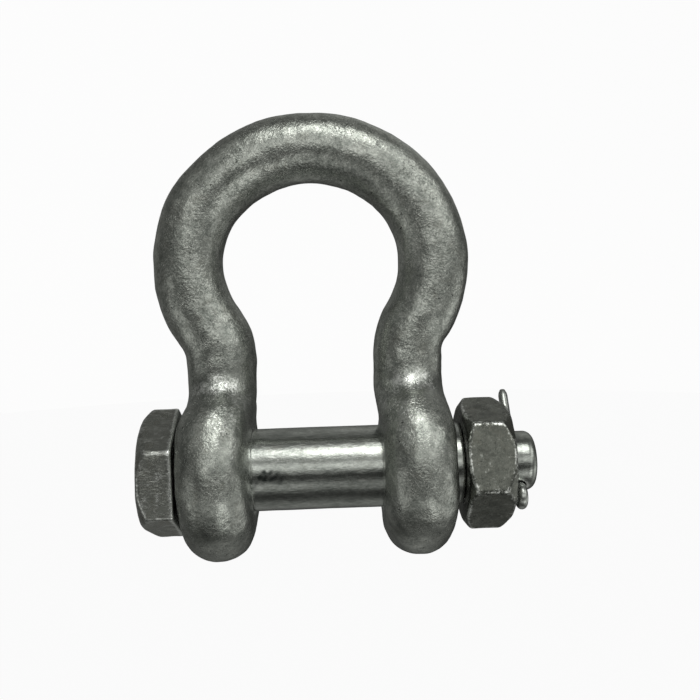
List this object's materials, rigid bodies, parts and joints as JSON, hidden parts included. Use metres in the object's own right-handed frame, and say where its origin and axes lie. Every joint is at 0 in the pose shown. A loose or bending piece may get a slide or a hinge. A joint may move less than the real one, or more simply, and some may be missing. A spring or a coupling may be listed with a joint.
{
  "type": "bow shackle",
  "caption": "Galvanised bow shackle: forged omega-shaped bow with two ears, closed by a headed bolt, a hexagon nut and a split pin.",
  "frame": {"origin": "on the bolt's axis, midway between the two ears", "axes": "+X along the bolt towards the nut, +Z towards the crown of the bow, Y through the bow's opening"},
  "size_m": [0.1085, 0.049, 0.1225],
  "materials": {
    "bow_zinc": "hot-dip galvanised forging, mottled grey, with dark pits and bright rubbed ridges",
    "bolt_zinc": "hot-dip galvanised, smoother and brighter on the turned shank, scratched on the head",
    "nut_zinc": "hot-dip galvanised, duller and browner grey, bright along the ridges",
    "split_pin_steel": "thin bright zinc on drawn half-round wire"
  },
  "bodies": {
    "bow": {"bow": "bow_zinc"},
    "bolt": {"bolt": "bolt_zinc"},
    "nut": {"nut": "nut_zinc"},
    "split_pin": {"split_pin": "split_pin_steel"}
  },
  "joints": [
    {"name": "pin_turn", "type": "hinge", "parent": "bow", "child": "bolt", "pos_m": [0, 0, 0], "axis": [1, 0, 0], "continuous": true},
    {"name": "nut_turn", "type": "hinge", "parent": "bolt", "child": "nut", "pos_m": [0.04, 0, 0], "axis": [1, 0, 0], "range_deg": [0, 185]},
    {"name": "split_pin_draw", "type": "slide", "parent": "bolt", "child": "split_pin", "axis": [0, -0.6947, -0.7193], "range_m": [0, 0.04], "deforming": ["split_pin"]}
  ]
}
